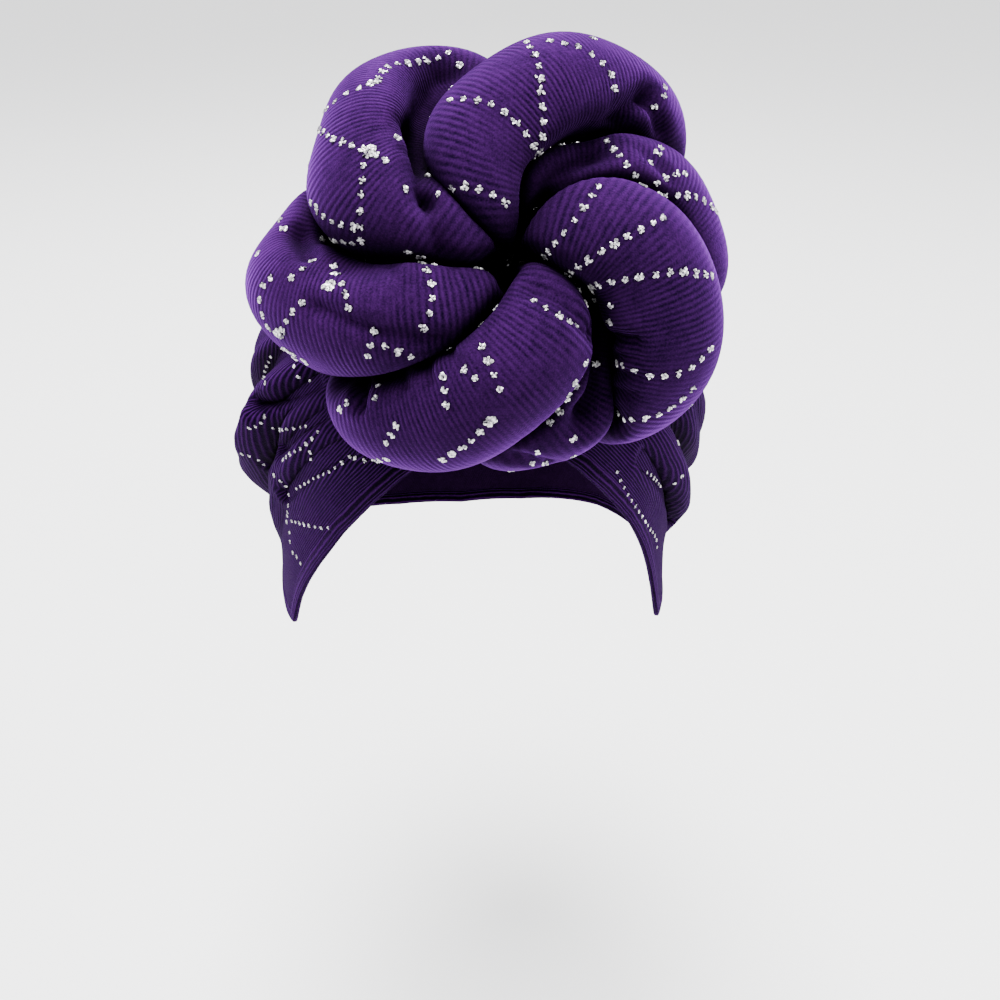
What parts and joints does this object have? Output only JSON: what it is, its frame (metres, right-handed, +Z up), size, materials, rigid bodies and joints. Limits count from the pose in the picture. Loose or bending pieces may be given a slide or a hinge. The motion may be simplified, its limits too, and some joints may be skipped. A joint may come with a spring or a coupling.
{
  "type": "turban headwrap",
  "caption": "Ready-tied velvet turban: a draped cap that covers head, ears and nape, with a twisted knot of stuffed rolls above the face opening.",
  "frame": {"origin": "the crown of the head, where its highest point touches the inside of the cap", "axes": "+Z up, -Y towards the side of the face and the knot, +X towards the wearer's left"},
  "size_m": [0.1891, 0.244, 0.2414],
  "materials": {
    "cap_velvet": "ribbed stretch velvet, purple, with silver glitter dots",
    "hem_velvet": "turned velvet edge, purple",
    "roll_velvet": "ribbed stretch velvet over soft filling, purple, with silver glitter dots"
  },
  "bodies": {
    "root": {"cap": "cap_velvet", "hem": "hem_velvet", "knot_roll_long": "roll_velvet", "knot_roll_short": "roll_velvet"}
  },
  "joints": []
}
